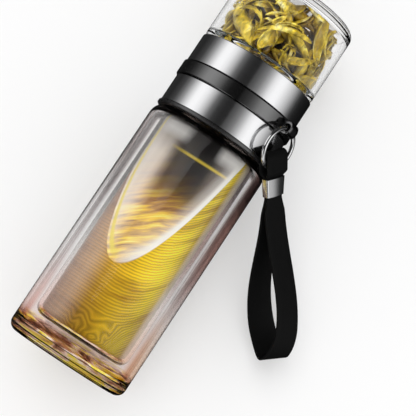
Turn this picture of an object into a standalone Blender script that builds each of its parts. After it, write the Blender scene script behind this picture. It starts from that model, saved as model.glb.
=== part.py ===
"""Glass tea flask: a double-walled glass body, a lower collar with a strainer, a black
band that carries a ring and a wrist strap, and an upper collar with the tea chamber.

Units are metres and +Z points up along the flask's axis. The origin is the centre of the
glass foot that the flask stands on, and +X points to the band's lug.
"""
import math

import bmesh
import bpy
from mathutils import Matrix, Vector

# Clearances
GAP = 0.0003             # between pieces that touch or are fused on the real flask
THREAD_GAP = 0.0004      # between an inner and an outer screw thread
CUT_OVER = 0.0010        # how far every cutter runs past what it cuts

# Heights that the outside shows, from the foot up
GLASS_HEIGHT = 0.1323    # foot to the underside of the collar's lip
LIP_HEIGHT = 0.0020
LOWER_SLEEVE_HEIGHT = 0.0150
BAND_SLOT_HEIGHT = 0.0083
UPPER_SLEEVE_HEIGHT = 0.0154
CHAMBER_HEIGHT = 0.0409

# Outer glass
JACKET_RADIUS = 0.0330
JACKET_WALL = 0.0022
JACKET_FLOOR = 0.0055
JACKET_FOOT_CORNER = 0.0048
JACKET_SHOULDER_RISE = 0.0065
NECK_HEIGHT = 0.0108     # from the shoulder to the seam with the inner glass
NECK_WALL = 0.0022

# Inner glass
LINER_SPACE = 0.0043     # air between the two walls
LINER_WALL = 0.0020
LINER_FLOOR = 0.0022
LINER_CORNER = 0.0052
LINER_FOOT_CLEARANCE = 0.0075  # air under the inner glass
RIM_HEIGHT = 0.0019
RIM_ROUND = 0.0007

# Gaskets
GASKET_THICKNESS = 0.0014
GASKET_WIDTH = 0.0030

# Lower collar
SLEEVE_INSET = 0.0012    # of the steel, from the glass
LIP_PROUD = 0.0008
SLEEVE_WALL = 0.0005
SLEEVE_EDGE_ROUND = 0.0004
SLEEVE_HEM = 0.0016      # how far a sleeve's end turns in over the core
LEDGE_THICKNESS = 0.0018
LEDGE_WIDTH = 0.0034     # shelf round the bore that the strainer's cup hangs in
MOUTH_WALL = 0.0028      # the threaded mouth that the upper collar screws on
MOUTH_HEIGHT = 0.0072    # above the band's slot
MOUTH_STEP = 0.0014      # from the slot's floor in to the mouth
SLOT_DEPTH = 0.0024
BEAD_PROUD = 0.0007      # snap bead that keeps the band in its slot
BEAD_HEIGHT = 0.0010

# Strainer
STRAINER_SHEET = 0.0006
STRAINER_DEPTH = 0.0090
STRAINER_CORNER = 0.0015
STRAINER_HOLE_RADIUS = 0.0008
STRAINER_HOLE_PITCH = 0.0046
STRAINER_HOLE_RINGS = 4
STRAINER_HOLES_A_RING = 6
STRAINER_SEAL_THICKNESS = 0.0012
STRAINER_SEAL_WIDTH = 0.0024

# Band, lug and ring
BAND_PROUD = 0.0009
BAND_EDGE = 0.0005
LUG_ARM = 0.0043         # from the band to the ring's wire
LUG_KNUCKLE_REACH = 0.0026     # past the ring's wire
LUG_KNUCKLE_HALF_HEIGHT = 0.0037
LUG_HALF_WIDTH = 0.0035
LUG_EDGE = 0.0004
RING_RADIUS = 0.01055    # to the middle of the wire
WIRE_RADIUS = 0.00115
LUG_HOLE_CLEARANCE = 0.00035

# Upper collar
FLANGE_THICKNESS = 0.0015
FLANGE_WIDTH = 0.0024

# Tea chamber
CHAMBER_INSET = 0.0004   # of the chamber, from the steel
CHAMBER_WALL = 0.0026
CHAMBER_END = 0.0040
CHAMBER_CORNER = 0.0042
CHAMBER_NECK_STEP = 0.0026
CHAMBER_NECK_WALL = 0.0020
CHAMBER_SHOULDER = 0.0024

# Strap and ferrule
STRAP_LENGTH = 0.0986    # ring's wire to the middle of the loop's bottom
STRAP_THICKNESS = 0.0012
STRAP_WIDTH = 0.0143
STRAP_FOLD_HALF_GAP = 0.0019   # inside the fold, from its middle to the strap
STRAP_FOLD_RISE = 0.0062       # wire's middle to the middle of the fold's arch
STRAP_FOLD_DROP = 0.0010       # where the fold's two layers start to close
STRAP_LOOP_HALF_WIDTH = 0.0112
STRAP_LOOP_WIDEST = 0.0815     # from the wire to the widest place of the loop
STRAP_LOOP_POWER = 2.1         # exponent of the loop's round bottom
STRAP_SPREAD = 0.0100          # length over which the strap regains its width
STRAP_TWIST = math.radians(33.0)       # turn of the loop's bottom from the ferrule
STRAP_TWIST_POWER_FRONT = 6.8  # how late the turn comes in the outer layer
STRAP_TWIST_POWER_BACK = 2.6
STRAP_PLACE_ANGLE = math.radians(31.0) # where it crosses the ring, from straight down
STRAP_SIDE_ANGLE = math.radians(39.0)  # its direction, from straight down
STRAP_OUT_ANGLE = math.radians(11.5)   # away from the flask
FERRULE_TOP = 0.0044           # from the ring's wire
FERRULE_HEIGHT = 0.0092
FERRULE_TOP_WIDTH = 0.0130
FERRULE_LOW_WIDTH = 0.0116
FERRULE_WALL = 0.0004
FERRULE_CORNER = 0.0009

# Counts of facets
ROUND_STEPS = 44
HIDDEN_STEPS = 28
CORNER_STEPS = 4
SMALL_CORNER_STEPS = 2
EDGE_STEPS = 1
WIRE_STEPS = 10
RING_STEPS = 32
HOLE_STEPS = 6
STRAP_STEPS = 18
FOLD_STEPS = 6

# Radii worked out from the sizes above
SLEEVE_RADIUS = JACKET_RADIUS - SLEEVE_INSET
LIP_RADIUS = SLEEVE_RADIUS + LIP_PROUD
BAND_RADIUS = SLEEVE_RADIUS + BAND_PROUD
LUG_REACH = BAND_RADIUS + LUG_ARM
CORE_RADIUS = SLEEVE_RADIUS - SLEEVE_WALL - GAP
SLOT_FLOOR_RADIUS = SLEEVE_RADIUS - SLOT_DEPTH
BEAD_RADIUS = SLOT_FLOOR_RADIUS + BEAD_PROUD
MOUTH_RADIUS = SLOT_FLOOR_RADIUS - MOUTH_STEP
MOUTH_BORE_RADIUS = MOUTH_RADIUS - MOUTH_WALL
LEDGE_RADIUS = MOUTH_BORE_RADIUS - LEDGE_WIDTH
FLANGE_BORE_RADIUS = MOUTH_RADIUS - FLANGE_WIDTH
CHAMBER_RADIUS = SLEEVE_RADIUS - CHAMBER_INSET
CHAMBER_NECK_RADIUS = CHAMBER_RADIUS - CHAMBER_NECK_STEP
LINER_RADIUS = JACKET_RADIUS - JACKET_WALL - LINER_SPACE
JACKET_NECK_RADIUS = LINER_RADIUS + GAP + NECK_WALL

# Heights worked out from the sizes above
LIP_Z = GLASS_HEIGHT
LOWER_SLEEVE_Z = LIP_Z + LIP_HEIGHT
SLOT_Z = LOWER_SLEEVE_Z + LOWER_SLEEVE_HEIGHT
UPPER_SLEEVE_Z = SLOT_Z + BAND_SLOT_HEIGHT
CHAMBER_Z = UPPER_SLEEVE_Z + UPPER_SLEEVE_HEIGHT
TOP_Z = CHAMBER_Z + CHAMBER_HEIGHT
BAND_LOW_Z = SLOT_Z + GAP
BAND_TOP_Z = UPPER_SLEEVE_Z - GAP
BAND_MID_Z = (BAND_LOW_Z + BAND_TOP_Z) / 2
LINER_Z = JACKET_FLOOR + LINER_FOOT_CLEARANCE
SHOULDER_Z = GLASS_HEIGHT - GAP
SEAM_Z = SHOULDER_Z + NECK_HEIGHT
RIM_Z = SEAM_Z + GAP + RIM_HEIGHT
BODY_GASKET_Z = RIM_Z + GAP
LEDGE_Z = BODY_GASKET_Z + GASKET_THICKNESS + GAP
LEDGE_TOP_Z = LEDGE_Z + LEDGE_THICKNESS
MOUTH_Z = UPPER_SLEEVE_Z + MOUTH_HEIGHT
COLLAR_GASKET_Z = MOUTH_Z + GAP
FLANGE_Z = COLLAR_GASKET_Z + GASKET_THICKNESS + GAP
CHAMBER_GASKET_Z = FLANGE_Z + FLANGE_THICKNESS + GAP
CHAMBER_NECK_Z = CHAMBER_GASKET_Z + GASKET_THICKNESS + GAP
RING_CENTRE_Z = BAND_MID_Z - RING_RADIUS


def clear_scene():
    for old in list(bpy.data.objects):
        bpy.data.objects.remove(old, do_unlink=True)


def material(name, colour, roughness, metallic=0.0, alpha=1.0, transmission=0.0):
    """A plain Principled material in the part's own colour."""
    made = bpy.data.materials.new(name)
    made.use_nodes = True
    shader = made.node_tree.nodes["Principled BSDF"]
    shader.inputs["Base Color"].default_value = (*colour, 1.0)
    shader.inputs["Roughness"].default_value = roughness
    shader.inputs["Metallic"].default_value = metallic
    shader.inputs["Alpha"].default_value = alpha
    shader.inputs["Transmission Weight"].default_value = transmission
    made.diffuse_color = (*colour, alpha)
    return made


def add_object(name, mesh_bm, look=None, origin=None):
    """Link a bmesh as a named object whose origin lies at the given world point."""
    place = Vector(origin) if origin else Vector((0, 0, 0))
    bmesh.ops.translate(mesh_bm, verts=mesh_bm.verts, vec=-place)
    bmesh.ops.recalc_face_normals(mesh_bm, faces=mesh_bm.faces)
    mesh = bpy.data.meshes.new(name)
    mesh_bm.to_mesh(mesh)
    mesh_bm.free()
    mesh.shade_smooth()
    mesh.set_sharp_from_angle(angle=math.radians(35))
    made = bpy.data.objects.new(name, mesh)
    made.location = place
    bpy.context.collection.objects.link(made)
    if look:
        made.data.materials.append(look)
    return made


def parent_to(child, parent):
    """Hang the child on its parent and leave it where it is."""
    bpy.context.view_layer.update()
    child.parent = parent
    child.matrix_parent_inverse = parent.matrix_world.inverted()


def make_cutter(made):
    made.hide_render = True
    made.display_type = "WIRE"


def boolean(target, tool, operation):
    step = target.modifiers.new(operation.lower() + "_" + tool.name, "BOOLEAN")
    step.operation = operation
    step.object = tool
    step.solver = "EXACT"


def arc(centre, radii, start, end, steps):
    """Points of a quarter ellipse or part of one, as (radius, height) pairs."""
    out = []
    for i in range(steps + 1):
        turn = math.radians(start + (end - start) * i / steps)
        out.append((centre[0] + radii[0] * math.cos(turn),
                    centre[1] + radii[1] * math.sin(turn)))
    return out


def corner(centre, radius, start, end, steps=SMALL_CORNER_STEPS):
    return arc(centre, (radius, radius), start, end, steps)


def turned(profile, steps):
    """Turn a closed profile of (radius, height) pairs round the flask's axis."""
    mesh_bm = bmesh.new()
    rows = []
    for radius, height in profile:
        if radius == 0:
            rows.append([mesh_bm.verts.new((0, 0, height))])
            continue
        row = []
        for k in range(steps):
            turn = 2 * math.pi * k / steps
            row.append(mesh_bm.verts.new((radius * math.cos(turn), radius * math.sin(turn), height)))
        rows.append(row)
    for low, high in zip(rows, rows[1:] + rows[:1]):
        if len(low) == 1 and len(high) == 1:
            continue
        for k in range(steps):
            after = (k + 1) % steps
            if len(low) == 1:
                mesh_bm.faces.new((low[0], high[after], high[k]))
            elif len(high) == 1:
                mesh_bm.faces.new((low[k], low[after], high[0]))
            else:
                mesh_bm.faces.new((low[k], low[after], high[after], high[k]))
    return mesh_bm


def washer(inner, outer, low, high, steps=HIDDEN_STEPS):
    return turned([(inner, low), (outer, low), (outer, high), (inner, high)], steps)


def outer_glass(look):
    """The outer wall, blown with a thick flat foot, a round shoulder and a plain neck."""
    inner = JACKET_RADIUS - JACKET_WALL
    neck_bore = LINER_RADIUS + GAP
    foot_corner = JACKET_FOOT_CORNER
    inner_corner = foot_corner - JACKET_WALL / 2
    shoulder = JACKET_RADIUS - JACKET_NECK_RADIUS
    bend = SHOULDER_Z - JACKET_SHOULDER_RISE
    profile = [(0, 0)]
    profile += corner((JACKET_RADIUS - foot_corner, foot_corner), foot_corner, -90, 0, CORNER_STEPS)
    profile += arc((JACKET_NECK_RADIUS, bend), (shoulder, JACKET_SHOULDER_RISE), 0, 90, CORNER_STEPS)
    profile += [(JACKET_NECK_RADIUS, SEAM_Z), (neck_bore, SEAM_Z)]
    profile += arc((neck_bore, bend), (inner - neck_bore, JACKET_SHOULDER_RISE - JACKET_WALL),
                   90, 0, CORNER_STEPS)
    profile += corner((inner - inner_corner, JACKET_FLOOR + inner_corner), inner_corner,
                      0, -90, CORNER_STEPS)
    profile += [(0, JACKET_FLOOR)]
    return add_object("outer_glass", turned(profile, ROUND_STEPS), look)


def inner_glass(look):
    """The inner wall that holds the tea, with a rim that is fused on the outer neck."""
    inner = LINER_RADIUS - LINER_WALL
    inner_corner = LINER_CORNER - LINER_WALL
    floor = LINER_Z + LINER_FLOOR
    flange = SEAM_Z + GAP
    profile = [(0, LINER_Z)]
    profile += corner((LINER_RADIUS - LINER_CORNER, LINER_Z + LINER_CORNER), LINER_CORNER,
                      -90, 0, CORNER_STEPS)
    profile += [(LINER_RADIUS, flange), (JACKET_NECK_RADIUS, flange)]
    profile += corner((JACKET_NECK_RADIUS - RIM_ROUND, RIM_Z - RIM_ROUND), RIM_ROUND, 0, 90)
    profile += corner((inner + RIM_ROUND, RIM_Z - RIM_ROUND), RIM_ROUND, 90, 180)
    profile += corner((inner - inner_corner, floor + inner_corner), inner_corner, 0, -90, CORNER_STEPS)
    profile += [(0, floor)]
    return add_object("inner_glass", turned(profile, ROUND_STEPS), look)


def body_gasket(look):
    """The silicone ring between the glass rim and the lower collar."""
    outer = JACKET_NECK_RADIUS - GAP
    made = washer(outer - GASKET_WIDTH, outer, BODY_GASKET_Z, BODY_GASKET_Z + GASKET_THICKNESS)
    return add_object("body_gasket", made, look)


def lower_core(look):
    """The moulded ring under the lower sleeve: lip, thread bore, ledge, band slot and mouth."""
    bore = JACKET_NECK_RADIUS + THREAD_GAP
    shelf = SLOT_Z - SLEEVE_WALL - GAP
    bead_z = BAND_TOP_Z - BEAD_HEIGHT
    edge = BAND_EDGE
    profile = [
        (bore, LIP_Z), (LIP_RADIUS - edge, LIP_Z), (LIP_RADIUS, LIP_Z + edge),
        (LIP_RADIUS, LOWER_SLEEVE_Z - GAP), (CORE_RADIUS, LOWER_SLEEVE_Z - GAP),
        (CORE_RADIUS, shelf), (SLOT_FLOOR_RADIUS, shelf),
        (SLOT_FLOOR_RADIUS, bead_z), (BEAD_RADIUS, bead_z), (BEAD_RADIUS, BAND_TOP_Z - edge),
        (BEAD_RADIUS - edge, BAND_TOP_Z), (MOUTH_RADIUS, BAND_TOP_Z),
        (MOUTH_RADIUS, MOUTH_Z - edge), (MOUTH_RADIUS - edge, MOUTH_Z),
        (MOUTH_BORE_RADIUS + edge, MOUTH_Z), (MOUTH_BORE_RADIUS, MOUTH_Z - edge),
        (MOUTH_BORE_RADIUS, LEDGE_TOP_Z), (LEDGE_RADIUS, LEDGE_TOP_Z),
        (LEDGE_RADIUS, LEDGE_Z), (bore, LEDGE_Z),
    ]
    return add_object("lower_core", turned(profile, ROUND_STEPS), look)


def sleeve(name, low, high, hem_low, look):
    """A drawn steel sleeve whose top, and for the upper one its foot too, turns in."""
    outer = SLEEVE_RADIUS
    inner = outer - SLEEVE_WALL
    bend = SLEEVE_EDGE_ROUND
    hem = outer - SLEEVE_HEM
    profile = []
    if hem_low:
        profile += [(hem_low, low + SLEEVE_WALL), (hem_low, low)]
    else:
        profile += [(inner, low)]
    profile += corner((outer - bend, low + bend), bend, -90, 0, EDGE_STEPS)
    profile += corner((outer - bend, high - bend), bend, 0, 90, EDGE_STEPS)
    profile += [(hem, high), (hem, high - SLEEVE_WALL), (inner, high - SLEEVE_WALL)]
    if hem_low:
        profile += [(inner, low + SLEEVE_WALL)]
    return add_object(name, turned(profile, ROUND_STEPS), look)


def strainer(look):
    """A pressed steel cup that hangs in the ledge, its floor pierced in rings of holes."""
    rim = MOUTH_BORE_RADIUS - GAP
    cup = LEDGE_RADIUS - GAP
    sheet = STRAINER_SHEET
    bend = STRAINER_CORNER
    top = LEDGE_TOP_Z + GAP + STRAINER_SEAL_THICKNESS + GAP
    floor = top - STRAINER_DEPTH
    profile = [(0, floor)]
    profile += corner((cup - bend, floor + bend), bend, -90, 0)
    profile += [(cup, top), (rim, top), (rim, top + sheet), (cup - sheet, top + sheet)]
    profile += corner((cup - bend, floor + bend), bend - sheet, 0, -90)
    profile += [(0, floor + sheet)]
    made = add_object("strainer", turned(profile, HIDDEN_STEPS), look)
    tools = bmesh.new()
    places = [(0.0, 0.0)]
    for ring in range(1, STRAINER_HOLE_RINGS + 1):
        count = STRAINER_HOLES_A_RING * ring
        for k in range(count):
            turn = 2 * math.pi * k / count
            reach = STRAINER_HOLE_PITCH * ring
            places.append((reach * math.cos(turn), reach * math.sin(turn)))
    for x, y in places:
        middle = Matrix.Translation((x, y, floor + sheet / 2))
        bmesh.ops.create_cone(tools, cap_ends=True, segments=HOLE_STEPS,
                              radius1=STRAINER_HOLE_RADIUS, radius2=STRAINER_HOLE_RADIUS,
                              depth=sheet + 2 * CUT_OVER, matrix=middle)
    punch = add_object("strainer_punch", tools)
    make_cutter(punch)
    boolean(made, punch, "DIFFERENCE")
    return made


def strainer_seal(look):
    """The silicone ring that the strainer's rim rests on."""
    outer = MOUTH_BORE_RADIUS - GAP
    low = LEDGE_TOP_Z + GAP
    made = washer(outer - STRAINER_SEAL_WIDTH, outer, low, low + STRAINER_SEAL_THICKNESS)
    return add_object("strainer_seal", made, look)


def strap_band(look):
    """The band that turns in its slot, with a lug whose flared hole holds the ring."""
    outer, edge = BAND_RADIUS, BAND_EDGE
    inner = SLOT_FLOOR_RADIUS + GAP
    rebate = BEAD_RADIUS + GAP
    rebate_z = BAND_TOP_Z - BEAD_HEIGHT - GAP
    profile = [
        (inner, BAND_LOW_Z), (outer - edge, BAND_LOW_Z), (outer, BAND_LOW_Z + edge),
        (outer, BAND_TOP_Z - edge), (outer - edge, BAND_TOP_Z), (rebate, BAND_TOP_Z),
        (rebate, rebate_z), (inner, rebate_z),
    ]
    band = add_object("strap_band", turned(profile, ROUND_STEPS), look)

    root = (rebate + outer) / 2
    half = (BAND_TOP_Z - BAND_LOW_Z) / 2 - edge
    side = [(root, BAND_MID_Z - half)]
    side += arc((LUG_REACH, BAND_MID_Z), (LUG_KNUCKLE_REACH, LUG_KNUCKLE_HALF_HEIGHT),
                -80, 80, 2 * CORNER_STEPS)
    side += [(root, BAND_MID_Z + half)]
    lug_bm = bmesh.new()
    face = lug_bm.faces.new([lug_bm.verts.new((x, -LUG_HALF_WIDTH, z)) for x, z in side])
    grown = bmesh.ops.extrude_face_region(lug_bm, geom=[face])
    moved = [g for g in grown["geom"] if isinstance(g, bmesh.types.BMVert)]
    bmesh.ops.translate(lug_bm, verts=moved, vec=(0, 2 * LUG_HALF_WIDTH, 0))
    rounded = [e for e in lug_bm.edges
               if all(v.co.x > outer for v in e.verts) and abs(e.verts[0].co.y - e.verts[1].co.y) < edge]
    bmesh.ops.bevel(lug_bm, geom=rounded, offset=LUG_EDGE, segments=1, affect="EDGES")
    lug = add_object("lug_blank", lug_bm)
    make_cutter(lug)
    boolean(band, lug, "UNION")

    hole = WIRE_RADIUS + LUG_HOLE_CLEARANCE
    sag = RING_RADIUS - math.sqrt(RING_RADIUS ** 2 - LUG_HALF_WIDTH ** 2)
    flare = hole + sag
    reach = LUG_HALF_WIDTH + CUT_OVER
    over = hole + (flare - hole) * reach / LUG_HALF_WIDTH
    drill_bm = bmesh.new()
    for way in (-1, 1):
        place = Matrix.Translation((LUG_REACH, way * reach / 2, BAND_MID_Z))
        turn = Matrix.Rotation(-way * math.pi / 2, 4, "X")
        bmesh.ops.create_cone(drill_bm, cap_ends=True, segments=WIRE_STEPS, radius1=hole,
                              radius2=over, depth=reach, matrix=place @ turn)
    bmesh.ops.remove_doubles(drill_bm, verts=drill_bm.verts, dist=GAP / 10)
    inside = [f for f in drill_bm.faces if abs(f.calc_center_median().y) < GAP / 10]
    bmesh.ops.delete(drill_bm, geom=inside, context="FACES_ONLY")
    drill = add_object("lug_drill", drill_bm)
    make_cutter(drill)
    boolean(band, drill, "DIFFERENCE")
    return band


def strap_ring(look):
    """The steel ring, hung in the lug. Its origin is the place where the lug carries it."""
    ring_bm = bmesh.new()
    rows = []
    for i in range(RING_STEPS):
        along = 2 * math.pi * i / RING_STEPS
        row = []
        for k in range(WIRE_STEPS):
            around = 2 * math.pi * k / WIRE_STEPS
            reach = RING_RADIUS + WIRE_RADIUS * math.cos(around)
            row.append(ring_bm.verts.new((LUG_REACH + WIRE_RADIUS * math.sin(around),
                                          reach * math.sin(along),
                                          RING_CENTRE_Z + reach * math.cos(along))))
        rows.append(row)
    for i in range(RING_STEPS):
        ahead = rows[(i + 1) % RING_STEPS]
        for k in range(WIRE_STEPS):
            after = (k + 1) % WIRE_STEPS
            ring_bm.faces.new((rows[i][k], rows[i][after], ahead[after], ahead[k]))
    return add_object("strap_ring", ring_bm, look, origin=(LUG_REACH, 0, BAND_MID_Z))


def strap_frame():
    """Where the strap crosses the wire, and its directions along, across and through.

    The wire curves up and out of the strap's plane towards the strap's edges, more on the
    side that it sits away from, so the plane is moved out by half of that."""
    side, out = STRAP_SIDE_ANGLE, STRAP_OUT_ANGLE
    in_ring = Vector((0, math.sin(side), -math.cos(side)))
    across = Vector((0, math.cos(side), math.sin(side)))
    along = in_ring * math.cos(out) + Vector((math.sin(out), 0, 0))
    through = along.cross(across)
    place = Vector((0, math.sin(STRAP_PLACE_ANGLE), -math.cos(STRAP_PLACE_ANGLE)))
    wire = Vector((LUG_REACH, 0, RING_CENTRE_Z)) + place * RING_RADIUS
    aside = abs(side - STRAP_PLACE_ANGLE)
    edge = STRAP_WIDTH / 2 + RING_RADIUS * math.sin(aside)
    rise = RING_RADIUS * math.cos(aside) - math.sqrt(RING_RADIUS ** 2 - edge ** 2)
    wire += through * (rise / 2 * math.tan(out))
    return wire, along, across, through


def smooth_step(value):
    value = min(max(value, 0.0), 1.0)
    return value * value * (3 - 2 * value)


def blend(low, high, value):
    return low + (high - low) * smooth_step(value)


def strap_route():
    """Half of the strap's closed route, top of the fold to the loop's bottom.

    Each entry is (out of the middle, along, width)."""
    half_gap = STRAP_FOLD_HALF_GAP + STRAP_THICKNESS / 2
    ferrule_low = FERRULE_TOP + FERRULE_HEIGHT
    pressed = GAP / 2 + STRAP_THICKNESS / 2
    inset = 2 * (FERRULE_WALL + GAP)
    top_width = FERRULE_TOP_WIDTH - inset
    low_width = FERRULE_LOW_WIDTH - inset
    route = []
    for i in range(FOLD_STEPS):
        turn = math.pi / 2 * i / FOLD_STEPS
        route.append((half_gap * math.sin(turn), -STRAP_FOLD_RISE - half_gap * math.cos(turn),
                      STRAP_WIDTH))
    for i in range(FOLD_STEPS):
        s = -STRAP_FOLD_RISE + (FERRULE_TOP + STRAP_FOLD_RISE) * i / FOLD_STEPS
        closing = (s - STRAP_FOLD_DROP) / (FERRULE_TOP - STRAP_FOLD_DROP)
        route.append((blend(half_gap, pressed, closing), s, blend(STRAP_WIDTH, top_width, closing)))
    route.append((pressed, FERRULE_TOP, top_width))
    for i in range(STRAP_STEPS + 1):
        s = ferrule_low + (STRAP_LOOP_WIDEST - ferrule_low) * i / STRAP_STEPS
        opening = (s - ferrule_low) / (STRAP_LOOP_WIDEST - ferrule_low)
        swell = (s - ferrule_low) / STRAP_SPREAD
        route.append((pressed + (STRAP_LOOP_HALF_WIDTH - pressed) * (1 - math.cos(math.pi * opening)) / 2,
                      s, blend(low_width, STRAP_WIDTH, swell)))
    drop = STRAP_LENGTH - STRAP_LOOP_WIDEST
    for i in range(1, STRAP_STEPS // 2 + 1):
        turn = math.pi / 2 * i / (STRAP_STEPS // 2)
        power = 2 / STRAP_LOOP_POWER
        route.append((STRAP_LOOP_HALF_WIDTH * math.cos(turn) ** power if i < STRAP_STEPS // 2 else 0.0,
                      STRAP_LOOP_WIDEST + drop * math.sin(turn) ** power, STRAP_WIDTH))
    return route


def strap_turn(s, front):
    """How far the strap is turned at a length s. The outer layer turns later than the inner."""
    ferrule_low = FERRULE_TOP + FERRULE_HEIGHT
    if s <= ferrule_low:
        return 0.0
    power = STRAP_TWIST_POWER_FRONT if front else STRAP_TWIST_POWER_BACK
    return STRAP_TWIST * min((s - ferrule_low) / (STRAP_LENGTH - ferrule_low), 1.0) ** power


def strap(look):
    """One flat strap, closed on itself: folded over the wire and hanging in a turned loop."""
    wire, along, across, through = strap_frame()
    half = strap_route()
    back = [(-n, s, w) for n, s, w in half[1:-1]][::-1]
    route = half + back
    count = len(route)
    half_thickness = STRAP_THICKNESS / 2
    strap_bm = bmesh.new()
    rows = []
    for i in range(count):
        n, s, width = route[i]
        before, after = route[i - 1], route[(i + 1) % count]
        heading = Vector((after[0] - before[0], after[1] - before[1])).normalized()
        normal = Vector((-heading.y, heading.x))
        turn = strap_turn(s, i < len(half))
        out = through * math.cos(turn) - across * math.sin(turn)
        wide = across * math.cos(turn) + through * math.sin(turn)
        row = []
        for way_across, way_out in ((-1, -1), (1, -1), (1, 1), (-1, 1)):
            point = (wire + out * (n + way_out * normal.x * half_thickness)
                     + along * (s + way_out * normal.y * half_thickness)
                     + wide * (way_across * width / 2))
            row.append(strap_bm.verts.new(point))
        rows.append(row)
    for i in range(count):
        ahead = rows[(i + 1) % count]
        for k in range(4):
            after = (k + 1) % 4
            strap_bm.faces.new((rows[i][k], rows[i][after], ahead[after], ahead[k]))
    return add_object("strap", strap_bm, look, origin=(LUG_REACH, 0, RING_CENTRE_Z))


def round_rectangle(half_width, half_depth, radius):
    """Points of a rectangle with round corners, anticlockwise."""
    out = []
    for centre_x, centre_y, start in ((1, 1, 0), (-1, 1, 90), (-1, -1, 180), (1, -1, 270)):
        middle = (centre_x * (half_width - radius), centre_y * (half_depth - radius))
        out += corner(middle, radius, start, start + 90)
    return out


def ferrule(look):
    """The bright metal clip that holds the strap's two layers together."""
    wire, along, across, through = strap_frame()
    depth = GAP / 2 + STRAP_THICKNESS + GAP + FERRULE_WALL
    clip_bm = bmesh.new()
    loops = []
    for s, width in ((FERRULE_TOP, FERRULE_TOP_WIDTH), (FERRULE_TOP + FERRULE_HEIGHT, FERRULE_LOW_WIDTH)):
        for wall, radius in ((0, FERRULE_CORNER), (FERRULE_WALL, FERRULE_CORNER - FERRULE_WALL)):
            points = round_rectangle(width / 2 - wall, depth - wall, radius)
            loops.append([clip_bm.verts.new(wire + along * s + across * x + through * y)
                          for x, y in points])
    top_outer, top_inner, low_outer, low_inner = loops
    for one, other in ((top_outer, low_outer), (low_outer, low_inner),
                       (low_inner, top_inner), (top_inner, top_outer)):
        for k in range(len(one)):
            after = (k + 1) % len(one)
            clip_bm.faces.new((one[k], one[after], other[after], other[k]))
    return add_object("ferrule", clip_bm, look, origin=(LUG_REACH, 0, RING_CENTRE_Z))


def collar_gasket(look):
    """The silicone ring between the mouth and the upper collar's flange."""
    outer = MOUTH_RADIUS - GAP
    inner = max(outer - GASKET_WIDTH, FLANGE_BORE_RADIUS)
    made = washer(inner, outer, COLLAR_GASKET_Z, COLLAR_GASKET_Z + GASKET_THICKNESS)
    return add_object("collar_gasket", made, look)


def upper_core(look):
    """The moulded ring under the upper sleeve: thread bore, flange and the chamber's seat."""
    bore = MOUTH_RADIUS + THREAD_GAP
    seat = CHAMBER_NECK_RADIUS + GAP
    low = UPPER_SLEEVE_Z + SLEEVE_WALL + GAP
    high = CHAMBER_Z - SLEEVE_WALL - GAP
    profile = [
        (bore, low), (CORE_RADIUS, low), (CORE_RADIUS, high), (seat, high),
        (seat, FLANGE_Z + FLANGE_THICKNESS), (FLANGE_BORE_RADIUS, FLANGE_Z + FLANGE_THICKNESS),
        (FLANGE_BORE_RADIUS, FLANGE_Z), (bore, FLANGE_Z),
    ]
    return add_object("upper_core", turned(profile, ROUND_STEPS), look)


def chamber_gasket(look):
    """The silicone ring that the chamber's neck is screwed down on."""
    outer = CHAMBER_NECK_RADIUS - GAP
    made = washer(outer - CHAMBER_NECK_WALL, outer, CHAMBER_GASKET_Z,
                  CHAMBER_GASKET_Z + GASKET_THICKNESS)
    return add_object("chamber_gasket", made, look)


def tea_chamber(look):
    """The upturned glass cup for the leaves, with a short neck inside the upper collar."""
    inner = CHAMBER_RADIUS - CHAMBER_WALL
    neck_bore = CHAMBER_NECK_RADIUS - CHAMBER_NECK_WALL
    turn_in = CHAMBER_SHOULDER
    foot = CHAMBER_Z + GAP
    inner_turn = inner - neck_bore
    end_corner = CHAMBER_CORNER
    inner_end = end_corner - CHAMBER_WALL / 2
    ceiling = TOP_Z - CHAMBER_END
    profile = [(neck_bore, CHAMBER_NECK_Z), (CHAMBER_NECK_RADIUS, CHAMBER_NECK_Z),
               (CHAMBER_NECK_RADIUS, foot)]
    profile += corner((CHAMBER_RADIUS - turn_in, foot + turn_in), turn_in, -90, 0)
    profile += corner((CHAMBER_RADIUS - end_corner, TOP_Z - end_corner), end_corner, 0, 90, CORNER_STEPS)
    profile += [(0, TOP_Z), (0, ceiling)]
    profile += corner((inner - inner_end, ceiling - inner_end), inner_end, 90, 0, CORNER_STEPS)
    profile += arc((inner - inner_turn, foot + CHAMBER_WALL + inner_turn), (inner_turn, inner_turn),
                   0, -90, SMALL_CORNER_STEPS)
    return add_object("tea_chamber", turned(profile, ROUND_STEPS), look)


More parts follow.
